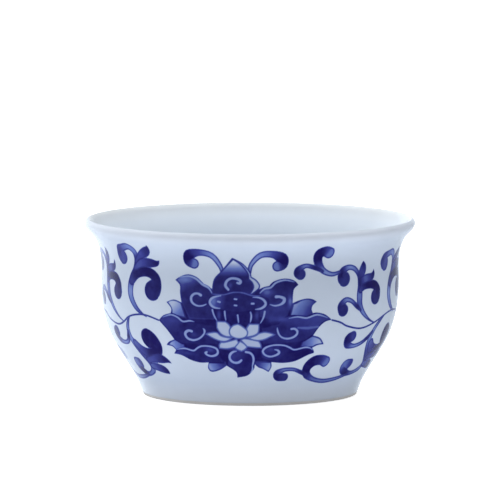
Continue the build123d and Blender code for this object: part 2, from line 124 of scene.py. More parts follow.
# Its petals from back to front. A petal is its outline and the two places, each with its tone of
# ink, that its shading runs between.
PETALS = [
    # Pale petals behind: upper left, upper right, lower left, lower right, and the two at the bottom
    ([[(-14.2, 19.6), (-14.6, 20.4), (-15.3, 21.1)], [(-14.2, 21.65), (-13.0, 21.65), (-11.8, 21.2)],
      [(-10.8, 18.0)], [(-14.3, 18.6)]], (-13.8, 20.8, 0.12), (-11.9, 18.9, 0.55)),
    ([[(11.6, 21.4), (12.6, 21.9), (13.8, 22.1), (15.0, 21.9), (16.05, 21.35)],
      [(15.1, 20.5), (14.95, 19.8), (15.3, 19.0)], [(13.0, 18.0)], [(10.2, 18.4)], [(10.9, 21.2)]],
     (11.6, 21.2, 0.27), (14.4, 19.2, 0.8)),
    ([[(-15.2, 13.3), (-16.0, 12.7), (-16.7, 12.3)], [(-15.2, 12.1), (-14.5, 11.3)], [(-12.0, 12.0)],
      [(-12.0, 13.0)], [(-14.1, 13.7)]], (-15.6, 12.8, 0.2), (-12.9, 12.7, 0.6)),
    ([[(16.7, 14.3), (17.7, 13.8), (18.7, 12.6)], [(17.0, 12.5), (16.1, 12.1)], [(13.0, 12.0)],
      [(13.5, 13.7)], [(15.6, 14.6)]], (17.4, 13.5, 0.18), (13.9, 12.9, 0.65)),
    ([[(-7.6, 8.4), (-7.4, 7.4), (-6.4, 7.15), (-5.3, 7.4), (-4.2, 7.8), (-3.0, 8.6)], [(-3.2, 9.4)],
      [(-7.1, 9.4)]], (-6.9, 7.9, 0.3), (-4.0, 8.9, 0.85)),
    ([[(4.2, 8.2), (5.2, 7.85), (6.7, 7.15)], [(7.3, 8.2), (7.1, 9.4)], [(3.4, 9.6)], [(3.4, 8.9)]],
     (6.6, 8.0, 0.3), (4.2, 9.1, 0.8)),
    # The top petal: its white fold, then its blue face
    (LOTUS_OUTLINE[:2] + [[(3.5, 23.6), (2.5, 22.9)], [(-5.2, 22.0)], [(-5.3, 24.1)]]
     + LOTUS_OUTLINE[-1:], (2.4, 28.0, 0.08), (2.4, 24.0, 0.16)),
    ([[(0.4, 29.3), (1.5, 28.1), (2.1, 27.1), (2.2, 26.2)], [(2.9, 25.4), (3.1, 24.4), (2.4, 23.1)],
      [(-5.2, 22.0)], [(-5.3, 24.1)], [(-4.9, 26.1), (-3.3, 27.85), (-1.0, 30.3)]],
     (-0.9, 29.4, 0.06), (-0.9, 26.6, 0.94)),
    # Upper left and upper right
    ([[(-12.4, 26.1), (-11.2, 26.7), (-10.0, 26.85), (-8.4, 26.35), (-6.9, 25.1)],
      [(-6.0, 24.7), (-5.1, 23.2)], [(-4.9, 18.0)], [(-10.2, 18.0)],
      [(-11.3, 20.3), (-12.0, 22.3), (-12.1, 24.6), (-13.2, 25.6)]],
     (-11.3, 25.9, 0.55), (-10.2, 23.7, 0.93)),
    ([[(4.1, 23.9), (4.9, 24.5), (6.1, 24.8)], [(7.0, 25.65), (9.1, 26.2), (11.1, 25.8), (12.1, 24.85)],
      [(11.2, 24.1), (10.9, 22.8), (10.8, 21.0), (10.0, 18.4)], [(8.6, 17.4)], [(4.0, 18.4)],
      [(4.0, 23.2)]], (9.6, 19.6, 0.86), (8.6, 24.2, 0.95)),
    # Middle left and middle right
    ([[(-16.9, 17.9), (-15.8, 18.6), (-14.6, 18.95), (-13.2, 18.75), (-11.6, 17.7)],
      [(-10.5, 17.95), (-8.9, 17.4)], [(-4.6, 17.0)], [(-4.4, 12.8)], [(-12.6, 12.7)],
      [(-14.4, 13.7), (-15.7, 15.5), (-17.5, 17.3)]], (-14.9, 17.9, 0.8), (-12.4, 15.6, 0.95)),
    ([[(11.5, 18.9), (14.0, 18.6)], [(15.0, 18.95), (16.5, 19.2), (18.1, 18.7), (20.0, 17.5)],
      [(18.2, 17.2), (17.0, 16.3), (15.75, 14.6)], [(14.0, 13.5), (12.0, 13.1)], [(4.8, 12.9)],
      [(4.4, 16.5)], [(8.0, 17.4)], [(9.0, 18.4), (10.0, 18.85)]],
     (13.0, 17.8, 0.78), (12.0, 15.2, 0.92)),
    # Lower left, lower right and bottom
    ([[(-14.6, 11.2), (-13.4, 11.85), (-12.0, 12.05), (-10.2, 11.7)],
      [(-8.5, 12.6), (-7.0, 12.85), (-5.3, 12.5), (-4.4, 11.6)], [(-3.4, 9.0)],
      [(-9.0, 9.0), (-12.0, 9.7), (-15.3, 10.6)]], (-14.4, 11.0, 0.8), (-11.5, 10.6, 0.95)),
    ([[(6.2, 12.95), (8.0, 13.05), (10.0, 12.65), (12.0, 12.0)],
      [(13.0, 12.35), (14.6, 12.45), (16.0, 12.0), (16.8, 10.9)],
      [(14.8, 10.2), (12.5, 9.35), (9.8, 9.05), (7.1, 9.3), (4.7, 10.2)], [(4.4, 11.8), (5.2, 12.5)]],
     (8.0, 12.0, 0.9), (11.0, 10.8, 1.0)),
    ([[(-2.7, 10.2), (-2.2, 11.4), (-0.5, 12.1), (1.8, 11.9), (3.2, 10.8), (3.4, 8.9)],
      [(3.2, 7.8), (1.7, 6.45), (-0.8, 6.0)], [(-1.0, 7.2), (-3.0, 8.5)]],
     (-1.5, 9.8, 0.86), (0.8, 8.4, 0.98)),
    # The head of the seed pod
    ([[(-4.6, 23.0), (-2.6, 23.2), (-0.9, 23.75), (0.9, 23.6), (2.6, 23.0), (4.4, 22.85)],
      [(5.9, 22.3), (6.0, 21.0), (4.9, 19.95)], [(2.4, 19.7), (-0.3, 19.4), (-3.2, 19.8)],
      [(-5.2, 20.1), (-6.2, 21.2), (-5.7, 22.5), (-4.6, 23.0)]], (-4.9, 21.7, 0.6), (-2.6, 21.5, 0.95)),
]

# White brush strokes on the lotus: folds and curls, the pod's rim, its seeds and its ribs. Each
# point of a stroke is (along, height, half width).
WHITE_STROKES = [
    [(-2.0, 24.05, 0.28), (-2.55, 24.8, 0.33), (-2.3, 25.7, 0.3), (-1.4, 26.25, 0.28), (-0.2, 26.15, 0.3),
     (0.45, 25.7, 0.32), (0.25, 25.3, 0.3), (-0.2, 25.4, 0.25)],
    [(-12.2, 26.15, 0.08), (-10.2, 26.45, 0.18), (-8.6, 26.0, 0.22), (-7.3, 24.95, 0.25),
     (-6.0, 24.3, 0.22), (-5.3, 23.3, 0.1)],
    [(11.2, 25.45, 0.08), (9.3, 25.85, 0.18), (7.5, 25.4, 0.22), (6.4, 24.45, 0.22), (5.2, 24.2, 0.2),
     (4.3, 23.4, 0.12)],
    [(-7.6, 22.8, 0.33), (-8.2, 23.1, 0.25), (-9.0, 23.0, 0.27), (-9.6, 22.4, 0.3), (-9.6, 21.6, 0.3),
     (-9.1, 21.0, 0.25), (-8.2, 20.65, 0.2), (-7.2, 20.75, 0.18), (-6.5, 21.05, 0.12)],
    [(7.5, 22.6, 0.35), (8.2, 22.6, 0.3), (9.1, 22.2, 0.38), (9.0, 21.5, 0.35), (8.2, 21.0, 0.22),
     (7.2, 20.85, 0.18), (6.3, 21.1, 0.1)],
    [(-16.4, 18.0, 0.06), (-14.4, 18.6, 0.18), (-12.9, 18.2, 0.2), (-11.7, 17.4, 0.2), (-10.2, 17.6, 0.18),
     (-9.2, 17.45, 0.08)],
    [(10.2, 18.25, 0.08), (12.0, 18.5, 0.18), (14.0, 18.2, 0.2), (16.2, 18.75, 0.2), (18.6, 18.05, 0.08)],
    [(-9.9, 15.5, 0.3), (-10.6, 15.6, 0.3), (-11.3, 15.2, 0.33), (-11.4, 14.6, 0.33), (-10.9, 13.95, 0.3),
     (-9.8, 13.7, 0.25), (-8.7, 13.95, 0.22), (-7.8, 14.5, 0.2), (-7.2, 15.2, 0.2), (-7.1, 15.8, 0.25),
     (-7.4, 16.2, 0.05)],
    [(10.8, 16.1, 0.25), (11.5, 16.1, 0.25), (12.1, 15.6, 0.27), (12.0, 14.9, 0.27), (11.2, 14.35, 0.25),
     (10.1, 14.15, 0.22), (9.0, 14.4, 0.2), (8.3, 15.0, 0.2), (7.95, 15.8, 0.2), (7.85, 16.4, 0.1)],
    [(-14.2, 11.5, 0.06), (-13.2, 11.75, 0.15), (-12.0, 11.85, 0.2), (-10.2, 11.5, 0.2), (-9.2, 12.05, 0.2),
     (-8.2, 12.5, 0.2), (-7.0, 12.6, 0.2), (-5.8, 12.45, 0.22), (-4.9, 12.1, 0.25), (-4.65, 11.4, 0.27),
     (-5.1, 10.8, 0.27), (-6.1, 10.5, 0.25), (-7.0, 10.65, 0.25), (-7.5, 11.1, 0.28), (-7.1, 11.35, 0.2)],
    [(16.2, 11.55, 0.06), (15.5, 12.0, 0.15), (14.3, 12.2, 0.2), (12.0, 11.8, 0.2), (10.8, 12.3, 0.2),
     (9.6, 12.75, 0.2), (8.0, 12.9, 0.2), (6.6, 12.75, 0.2), (5.5, 12.3, 0.25), (5.05, 11.6, 0.25),
     (5.6, 10.85, 0.22), (6.7, 10.5, 0.22), (7.8, 10.7, 0.25), (8.6, 11.2, 0.3), (8.3, 11.75, 0.25),
     (7.6, 11.95, 0.12)],
    [(-0.6, 11.65, 0.12), (-1.3, 11.5, 0.25), (-1.95, 11.0, 0.3), (-2.2, 10.3, 0.3), (-1.9, 9.6, 0.3),
     (-1.1, 9.2, 0.28), (-0.2, 9.3, 0.3), (0.4, 9.75, 0.25)],
    [(1.4, 11.5, 0.25), (2.3, 11.3, 0.28), (2.9, 10.7, 0.28), (3.1, 9.9, 0.27), (3.0, 9.1, 0.22),
     (2.85, 8.5, 0.15), (2.9, 8.0, 0.2), (2.7, 7.4, 0.15), (2.3, 7.1, 0.05)],
    [(-3.5, 22.8, 0.1), (-4.6, 22.6, 0.2), (-5.4, 22.2, 0.27), (-5.75, 21.5, 0.28), (-5.4, 20.8, 0.28),
     (-4.7, 20.4, 0.22), (-3.7, 20.3, 0.12)],
    [(2.9, 22.55, 0.1), (4.0, 22.5, 0.2), (4.9, 22.1, 0.27), (5.4, 21.4, 0.3), (5.2, 20.8, 0.3),
     (4.4, 20.3, 0.25), (3.4, 20.15, 0.12)],
    [(-4.1, 21.65, 0.2), (-3.7, 21.55, 0.22)],
    [(-0.75, 22.2, 0.2), (-0.35, 22.15, 0.2)],
    [(-0.75, 20.95, 0.2), (-0.35, 20.9, 0.2)],
    [(2.65, 21.3, 0.24), (3.0, 21.3, 0.24)],
    [(-5.25, 20.0, 0.2), (-5.05, 19.2, 0.2), (-4.7, 18.4, 0.18), (-4.4, 17.9, 0.1)],
    [(-2.75, 19.7, 0.2), (-2.7, 19.0, 0.2), (-2.55, 18.0, 0.13)],
    [(-0.15, 19.0, 0.2), (0.0, 17.6, 0.15)],
    [(2.4, 19.6, 0.15), (2.55, 19.0, 0.2), (2.5, 18.2, 0.2), (2.35, 17.6, 0.1)],
    [(5.25, 19.7, 0.22), (5.1, 18.9, 0.22), (4.85, 18.2, 0.18), (4.4, 17.4, 0.1)],
]

# Faint blue strokes: the fold along the top of the pod, and the sheen on the middle right petal
FAINT_STROKES = [
    [(-5.0, 23.1, 0.1), (-3.0, 23.0, 0.14), (-1.0, 23.5, 0.14), (0.8, 23.45, 0.14), (2.6, 22.9, 0.14),
     (4.2, 22.85, 0.1)],
    [(12.2, 16.3, 0.2), (14.4, 16.15, 0.28), (16.6, 16.3, 0.2)],
]

# Soft spots where the wash of a petal is thinner: (along, height, half length, half height, tone)
GLOWS = [
    (5.7, 23.5, 1.2, 0.8, 0.55), (10.35, 21.5, 0.5, 1.1, 0.5), (-10.9, 25.7, 1.3, 0.55, 0.44),
    (8.6, 18.1, 1.7, 0.5, 0.68), (8.0, 20.4, 2.0, 1.0, 0.8), (16.2, 17.9, 1.6, 0.5, 0.72),
    (-6.3, 11.8, 0.8, 0.5, 0.72), (6.7, 11.9, 0.8, 0.5, 0.8), (-14.2, 17.5, 1.2, 0.6, 0.78),
    (-5.0, 21.7, 0.4, 0.5, 0.5), (0.0, 12.0, 2.4, 0.25, 0.7), (-12.0, 10.9, 1.8, 0.4, 0.82),
    (6.9, 18.2, 1.3, 0.7, 0.8), (-9.5, 14.9, 0.8, 0.6, 0.84), (-1.6, 24.9, 0.4, 0.5, 0.72),
    (-3.9, 19.0, 0.4, 0.9, 0.74), (3.7, 18.9, 0.4, 0.9, 0.74), (9.0, 14.0, 3.0, 0.5, 0.88),
]

# The small white lotus in the heart of the big one, and the petals of it from back to front
SMALL_LOTUS = [
    [[(-4.6, 16.5), (-4.5, 17.8)], [(-2.6, 17.8)], [(-1.6, 16.8), (-1.3, 14.5)],
     [(-2.6, 14.5), (-3.8, 15.1), (-4.5, 16.2)]],
    [[(2.1, 17.35)], [(4.2, 17.3)], [(4.25, 16.3), (4.0, 15.3), (3.0, 14.7), (1.4, 14.4)], [(1.5, 16.5)]],
    [[(-6.5, 15.35), (-5.0, 15.6), (-4.3, 15.5)], [(-3.6, 14.9), (-2.4, 14.6), (-1.0, 14.5)],
     [(-2.2, 13.7), (-3.4, 13.5), (-5.2, 14.0), (-7.0, 15.0)]],
    [[(6.5, 15.5), (5.2, 15.7), (4.1, 15.45)], [(3.2, 14.9), (1.7, 14.5)],
     [(3.0, 13.8), (5.0, 13.85), (7.6, 15.0)]],
    [[(-4.35, 12.9), (-3.8, 13.6)], [(-2.8, 13.65), (-0.4, 14.3)], [(0.1, 13.2), (-0.7, 12.4)],
     [(-2.5, 12.0), (-4.3, 12.1)]],
    [[(1.3, 14.4), (4.2, 13.85)], [(4.7, 13.1), (4.8, 12.2)], [(3.2, 12.3), (1.5, 12.5)], [(0.2, 14.0)]],
    [[(1.2, 13.3), (1.8, 12.5), (1.2, 11.85), (0.5, 11.5)],
     [(-0.5, 11.9), (-0.95, 12.5), (-0.4, 13.2), (0.2, 13.9)]],
    [[(0.9, 16.8), (1.9, 15.8), (1.6, 14.6), (0.0, 14.1), (-1.7, 14.7), (-2.0, 16.0), (-1.2, 17.0),
      (-0.1, 17.35)]],
]

# The two feelers above the lotus. Each point is (along, height, half width, tone).
FEELERS = [
    [(-3.2, 27.3, 0.4, 0.55), (-3.6, 28.7, 0.5, 0.36), (-5.2, 30.8, 0.65, 0.4), (-7.6, 31.35, 0.75, 0.7),
     (-9.6, 30.8, 1.1, 1.0), (-9.95, 29.6, 1.15, 0.97), (-8.95, 29.05, 1.1, 0.5)],
    [(2.2, 27.4, 0.4, 0.55), (2.6, 29.1, 0.5, 0.36), (4.4, 30.95, 0.65, 0.4), (6.8, 31.05, 0.8, 0.7),
     (8.5, 30.2, 1.2, 1.0), (8.65, 29.1, 1.2, 0.97), (7.75, 28.65, 1.1, 0.5)],
]

# A vine, laid out from the middle of the lotus to its left: its stem, whose ends reach into the tips of
# the two lotuses beside it, and its scrolls. The points are like those of the feelers.
STEM_Z = 16.8
VINE_STEM = [
    (19.8, 17.47, 0.2, 0.9), (22, 16.85, 0.2, 0.9), (24, 15.95, 0.2, 0.9), (28, 15.2, 0.2, 0.9),
    (32, 15.85, 0.2, 0.9), (36, 17.0, 0.2, 0.9), (39, 17.6, 0.2, 0.9), (42, 17.7, 0.2, 0.9),
    (45.3, 17.3, 0.2, 0.9),
]

VINE_SCROLLS = [
    # Upper scrolls: the stalk, its big bulb, its two buds and the bulb that hangs to its left
    [(32.6, 16.0, 0.12, 0.75), (30.4, 16.75, 0.28, 0.6), (28.1, 18.35, 0.55, 0.4), (26.9, 20.1, 0.75, 0.62),
     (26.7, 22.0, 0.85, 0.5), (26.75, 24.0, 0.65, 0.9), (26.45, 25.9, 0.55, 0.85), (25.2, 27.3, 0.55, 0.45),
     (23.6, 27.7, 0.6, 0.4), (22.2, 27.1, 0.85, 0.9), (21.8, 26.1, 1.0, 0.97), (22.4, 25.5, 1.6, 0.85)],
    [(26.9, 22.9, 0.6, 0.7), (28.2, 23.75, 0.85, 0.97), (30.2, 23.85, 0.9, 1.0), (31.6, 23.5, 1.0, 1.0),
     (32.4, 22.6, 1.15, 0.98), (32.3, 21.8, 1.35, 0.94), (31.95, 21.3, 1.68, 0.9)],
    [(26.7, 24.9, 0.6, 0.9), (27.4, 26.5, 1.0, 0.72), (27.7, 27.5, 0.85, 0.9), (27.5, 28.75, 0.02, 1.0)],
    [(26.9, 24.6, 0.8, 0.9), (28.6, 25.1, 0.9, 0.6), (30.5, 25.4, 0.75, 0.88), (31.1, 26.1, 0.4, 0.95),
     (31.1, 26.85, 0.02, 1.0)],
    [(27.2, 18.9, 0.3, 0.7), (26.0, 19.8, 0.5, 0.95), (24.4, 21.0, 0.5, 0.42), (22.9, 21.25, 0.6, 0.45),
     (21.9, 20.2, 0.95, 0.9), (22.35, 19.3, 1.35, 0.9)],
    [(21.3, 26.9, 0.4, 0.7), (19.4, 26.6, 0.5, 0.36), (17.3, 27.5, 0.7, 0.45), (16.1, 29.3, 0.95, 0.97),
     (16.1, 30.8, 1.1, 1.0), (17.2, 31.35, 1.1, 0.9), (18.3, 30.95, 1.15, 0.5)],
    [(17.2, 27.3, 0.35, 0.7), (15.4, 28.1, 0.5, 0.95), (13.6, 28.55, 0.5, 0.45), (12.2, 27.9, 0.75, 0.85),
     (12.0, 27.2, 1.0, 0.97), (12.45, 26.9, 1.15, 0.85)],
    # Upper scrolls beside the next lotus
    [(42.1, 17.4, 0.1, 0.75), (39.6, 18.6, 0.55, 0.6), (38.0, 20.4, 0.78, 0.42), (37.7, 22.1, 0.9, 0.38),
     (38.3, 23.9, 0.95, 0.85), (39.4, 25.7, 0.75, 0.9), (39.9, 27.4, 0.65, 0.9), (39.75, 28.8, 0.75, 0.45),
     (38.4, 29.6, 0.7, 0.42), (36.7, 29.35, 0.75, 0.6), (35.2, 28.9, 0.95, 0.8), (34.7, 28.0, 1.1, 0.85),
     (35.4, 27.6, 1.6, 0.7)],
    [(38.2, 23.5, 0.9, 0.8), (39.8, 24.9, 1.05, 0.97), (42.0, 25.4, 1.05, 1.0), (43.9, 25.1, 1.05, 1.0),
     (45.0, 24.2, 1.15, 0.97), (44.9, 23.0, 1.55, 0.95), (44.1, 22.2, 2.1, 0.93)],
    [(39.8, 27.0, 0.5, 0.75), (41.4, 28.2, 0.85, 0.7), (43.1, 29.0, 0.95, 0.9), (43.85, 29.7, 0.4, 0.97),
     (44.0, 30.3, 0.02, 1.0)],
    [(39.4, 25.9, 0.6, 0.7), (41.3, 26.85, 0.95, 0.66), (43.6, 27.0, 0.95, 0.9), (45.3, 27.0, 0.6, 0.97),
     (46.1, 27.6, 0.02, 1.0)],
    # Lower scrolls: the stalk, the bulb to its left, and the pair that runs under the lotus
    [(36.6, 17.0, 0.12, 0.75), (35.2, 16.3, 0.4, 0.6), (33.4, 14.8, 0.6, 0.42), (32.5, 12.9, 0.75, 0.38),
     (33.1, 11.3, 1.05, 0.6), (34.4, 9.5, 1.05, 0.75), (35.4, 8.0, 0.9, 0.55), (35.1, 6.7, 0.75, 0.5),
     (33.6, 6.05, 0.55, 0.5), (31.4, 5.7, 0.5, 0.6), (29.2, 5.9, 0.75, 0.95), (27.6, 6.8, 1.05, 0.85),
     (27.4, 7.6, 1.25, 0.5), (28.9, 7.8, 1.1, 0.75)],
    [(32.6, 14.1, 0.4, 0.6), (31.2, 12.9, 0.55, 0.95), (29.4, 12.0, 0.5, 0.5), (27.2, 11.65, 0.5, 0.4),
     (25.3, 12.1, 0.85, 0.85), (25.0, 13.2, 1.15, 0.97), (26.1, 13.7, 1.15, 0.8)],
    [(29.6, 5.45, 0.35, 0.7), (26, 4.9, 0.45, 0.45), (22, 4.7, 0.48, 0.45), (18.6, 5.3, 0.55, 0.55),
     (16.5, 6.4, 0.9, 0.95), (16.1, 7.9, 1.2, 1.0), (17.3, 9.1, 1.2, 1.0), (19.2, 9.3, 1.1, 0.85),
     (20.6, 8.85, 1.15, 0.5)],
    [(16.5, 6.2, 0.4, 0.8), (14.8, 6.9, 0.45, 0.95), (12.6, 7.6, 0.42, 0.5), (10.3, 7.55, 0.5, 0.5),
     (8.8, 6.8, 0.85, 0.9), (9.2, 6.15, 0.95, 0.97), (10.9, 6.0, 0.85, 0.85)],
    # Lower scrolls beside the next lotus
    [(33.6, 11.8, 0.9, 0.62), (35.2, 10.5, 1.1, 0.75), (38.0, 10.0, 1.1, 0.97), (40.3, 10.5, 1.2, 1.0),
     (41.6, 11.7, 1.25, 1.0), (41.3, 12.8, 1.6, 1.0), (40.1, 13.1, 2.15, 1.0)],
    [(35.3, 8.5, 0.7, 0.7), (38.0, 8.85, 0.85, 0.72), (40.6, 9.1, 1.0, 0.92), (42.3, 8.8, 0.5, 0.97),
     (43.2, 8.2, 0.02, 1.0)],
    [(35.6, 7.3, 0.7, 0.6), (37.8, 7.1, 0.9, 0.7), (39.7, 6.8, 0.9, 0.92), (40.7, 6.4, 0.5, 0.97),
     (40.9, 5.8, 0.02, 1.0)],
]


def smooth(points, steps=4):
    """Points along the smooth curve through the given ones (Catmull-Rom), both ends included."""
    p = np.asarray(points, float)
    if len(p) == 2:
        return p
    padded = np.vstack([p[:1], p, p[-1:]])
    a, b, c, d = padded[:-3], padded[1:-2], padded[2:-1], padded[3:]
    second, third = 2 * a - 5 * b + 4 * c - d, 3 * b - a - 3 * c + d
    rows = [0.5 * (2 * b + (c - a) * t + second * t ** 2 + third * t ** 3) for t in np.arange(steps) / steps]
    return np.vstack([np.stack(rows, 1).reshape(-1, p.shape[1]), p[-1:]])


def outline(runs):
    """A closed outline from smooth runs that meet at corners."""
    pieces = []
    previous = runs[-1][-1]
    for run in runs:
        pieces.append(smooth([previous] + run)[:-1])
        previous = run[-1]
    return np.vstack(pieces)


def along_line(x, z, a, b):
    """How far along the line from a to b each place lies, from 0 to 1."""
    dx, dz = b[0] - a[0], b[1] - a[1]
    return np.clip(((x - a[0]) * dx + (z - a[1]) * dz) / (dx * dx + dz * dz), 0, 1)


def depth_in_outline(x, z, points):
    """How deep each place lies inside a closed outline. It is negative outside."""
    nearest = np.full(x.shape, FAR)
    inside = np.zeros(x.shape, bool)
    for a, b in zip(points, np.roll(points, -1, 0)):
        t = along_line(x, z, a, b)
        away = np.hypot(x - a[0] - t * (b[0] - a[0]), z - a[1] - t * (b[1] - a[1]))
        nearest = np.minimum(nearest, away)
        if a[1] != b[1]:
            crossing = a[0] + (z - a[1]) * (b[0] - a[0]) / (b[1] - a[1])
            inside ^= ((a[1] > z) != (b[1] > z)) & (x < crossing)
    return np.where(inside, nearest, -nearest)


def depth_in_stroke(x, z, spine):
    """How deep each place lies inside a brush stroke, and the tone of the stroke there."""
    depth, tone = np.full(x.shape, -FAR), np.zeros(x.shape)
    for a, b in zip(spine, spine[1:]):
        t = along_line(x, z, a, b)
        off = np.hypot(x - a[0] - t * (b[0] - a[0]), z - a[1] - t * (b[1] - a[1]))
        here = a[2] + t * (b[2] - a[2]) - off
        deeper = here > depth
        depth = np.where(deeper, here, depth)
        tone = np.where(deeper, a[3] + t * (b[3] - a[3]), tone)
    return depth, tone


class Canvas:
    """A grid over part of the unrolled outside of the bowl, on which a transfer is painted."""

    def __init__(self, left, right, low, high):
        across, up = np.arange(left, right, GRID), np.arange(low, high, GRID)
        self.x, self.z = np.meshgrid(across, up, indexing="ij")
        self.depth = np.full(self.x.shape, -FAR)     # how deep inside the transfer's edge
        self.ink = np.full(self.x.shape, DEEP)

    def near(self, points, margin=1.0):
        """The window of the grid that holds some points."""
        low, high = points.min(0) - margin, points.max(0) + margin
        across = np.searchsorted(self.x[:, 0], (low[0], high[0]))
        up = np.searchsorted(self.z[0], (low[1], high[1]))
        return slice(*across), slice(*up)

    def lay(self, window, depth, fill, line):
        """Lays ink over what is there: a fill, and a line of another tone just inside its edge."""
        rim = np.clip(0.5 + (LINE - depth) / SOFT, 0, 1)
        cover = np.clip(0.5 + depth / SOFT, 0, 1)
        self.ink[window] += (fill + (line - fill) * rim - self.ink[window]) * cover

    def cut(self, window, depth):
        """Adds a shape to the transfer's own outline."""
        self.depth[window] = np.maximum(self.depth[window], depth)

    def petal(self, runs, start, end, line):
        """Paints a petal. Its fill runs from the tone at one place to the tone at another."""
        points = outline(runs)
        window = self.near(points)
        x, z = self.x[window], self.z[window]
        fill = start[2] + (end[2] - start[2]) * along_line(x, z, start, end)
        self.lay(window, depth_in_outline(x, z, points), fill, line)

    def stroke(self, points, line, cuts=False):
        """Paints a brush stroke. One that cuts also adds its shape to the transfer."""
        spine = smooth(points)
        window = self.near(spine[:, :2], 3.0)
        depth, tone = depth_in_stroke(self.x[window], self.z[window], spine)
        self.lay(window, depth, tone, np.maximum(tone, line))
        if cuts:
            self.cut(window, depth)

    def glow(self, x, z, half_length, half_height, tone):
        """Lets the ink fade softly towards another tone round a place."""
        nearness = np.exp(-((self.x - x) / half_length) ** 2 - ((self.z - z) / half_height) ** 2)
        self.ink += (tone - self.ink) * nearness


def paint_lotus():
    """Paints a lotus from back to front."""
    canvas = Canvas(-18.6, 20.6, 5.4, 32.6)
    edge = outline(LOTUS_OUTLINE)
    window = canvas.near(edge)
    canvas.cut(window, depth_in_outline(canvas.x[window], canvas.z[window], edge))
    canvas.ink[:] = FULL
    for points in FEELERS:
        canvas.stroke(points, DEEP, cuts=True)
    for runs, start, end in PETALS:
        canvas.petal(runs, start, end, DEEP if min(start[2], end[2]) < MID else FULL)
    for spot in GLOWS:
        canvas.glow(*spot)
    for points in FAINT_STROKES:
        canvas.stroke([(x, z, half_width, MID) for x, z, half_width in points], 0)
    for points in WHITE_STROKES:
        canvas.stroke([(x, z, half_width * THIN, PALE) for x, z, half_width in points], 0)
    for runs in SMALL_LOTUS[:-1]:
        canvas.petal(runs, (0, 12, OFF_WHITE), (0, 17, WHITE), MID)
    canvas.petal(SMALL_LOTUS[-1], (0, 14, WHITE), (0, 17, PALEST), MID)
    return canvas


def leaned(points):
    """Stretches a scroll towards the next lotus, most of all below the stem and far from that lotus.

    The vine on the front left is laid wider than the others, and this is how it differs from them.
    """
    moved = []
    for x, z, half_width, tone in points:
        left = max(0, min(8, 37 - x))                  # how far left of the next lotus's stalks
        not_high = max(0, min(1, (30 - z) / 13))       # 1 below the middle, 0 at the top
        below = max(0, min(1, (STEM_Z - z) / 6))       # 0 at the stem, 1 well below it
        low = max(0, 12.8 - z)                         # how deep among the lowest scrolls
        along = 0.31 * left * not_high + 2.2 * below + 0.1 * low
        up = 0.14 + 0.13 * max(0, z - 16) - 0.007 * left * low
        moved.append((x + along, z + up, half_width, tone))
    return moved


def paint_vine(stem, scrolls):
    """Paints a vine."""
    canvas = Canvas(6.4, 49.5, 3.6, 33.2)
    canvas.stroke(stem, MID, cuts=True)
    for points in scrolls:
        canvas.stroke(points, DEEP, cuts=True)
    return canvas


def spline(points, start, end, steps):
    """Places along the smooth curve (a cubic spline) through the given points, and its directions there.

    The curve sets out in the direction of start and arrives in the direction of end.
    """
    p = np.asarray(points, float)
    chord = np.hypot(*np.diff(p, axis=0).T)
    knots = np.concatenate([[0], np.cumsum(chord)])
    ahead = np.diff(p, axis=0) / chord[:, None]
    slopes = np.zeros_like(p)
    slopes[0] = np.array(start) / math.hypot(*start)
    slopes[-1] = np.array(end) / math.hypot(*end)
    matrix, right = np.eye(len(p)), slopes.copy()
    for i in range(1, len(p) - 1):
        matrix[i, i - 1:i + 2] = chord[i], 2 * (chord[i - 1] + chord[i]), chord[i - 1]
        right[i] = 3 * (chord[i] * ahead[i - 1] + chord[i - 1] * ahead[i])
    slopes = np.linalg.solve(matrix, right)
    at = np.linspace(0, knots[-1], steps + 1)
    i = np.clip(np.searchsorted(knots, at, side="right") - 1, 0, len(chord) - 1)
    h, t = chord[i, None], ((at - knots[i]) / chord[i])[:, None]
    a, b, u, v = p[i], p[i + 1], slopes[i] * h, slopes[i + 1] * h
    places = a + u * t + (3 * (b - a) - 2 * u - v) * t ** 2 + (2 * (a - b) + u + v) * t ** 3
    directions = u + 2 * (3 * (b - a) - 2 * u - v) * t + 3 * (2 * (a - b) + u + v) * t ** 2
    return places, directions / np.hypot(*directions.T)[:, None]


def beside(places, directions, distance):
    """A line that runs at a distance to the right of another one."""
    return places + distance * np.stack([directions[:, 1], -directions[:, 0]], 1)


def rounded_corner(before, corner, after, radius, steps=6):
    """Points of an arc that rounds a corner of a line."""
    before, corner, after = (np.array(p, float) for p in (before, corner, after))
    a = (before - corner) / np.linalg.norm(before - corner)
    b = (after - corner) / np.linalg.norm(after - corner)
    half = math.acos(np.dot(a, b)) / 2
    centre = corner + (a + b) / np.linalg.norm(a + b) * radius / math.sin(half)
    first = corner + a * radius / math.tan(half) - centre
    last = corner + b * radius / math.tan(half) - centre
    turn = math.pi - 2 * half
    return [
        tuple(centre + (math.sin((1 - t) * turn) * first + math.sin(t * turn) * last) / math.sin(turn))
        for t in np.arange(steps + 1) / steps
    ]


BAKE_UV = "OFBake"         # the UV layer that a piece's finish is baked into

def mesh_object(name, vertices, faces, uvs, ink=None):
    """A smooth shaded mesh from places in millimetres. There is one UV for each corner of each face."""
    mesh = bpy.data.meshes.new(name)
    mesh.from_pydata((vertices * MM).tolist(), [], [tuple(face) for face in faces])
    layer = mesh.uv_layers.new(name=BAKE_UV)
    layer.data.foreach_set("uv", np.asarray(uvs, np.float32).ravel())
    if ink is not None:
        attribute = mesh.attributes.new("ink", "FLOAT", "POINT")
        attribute.data.foreach_set("value", np.asarray(ink, np.float32))
    mesh.shade_smooth()
    mesh.set_sharp_from_angle(angle=math.radians(SHARP_ANGLE))
    piece = bpy.data.objects.new(name, mesh)
    bpy.context.scene.collection.objects.link(piece)
    return piece


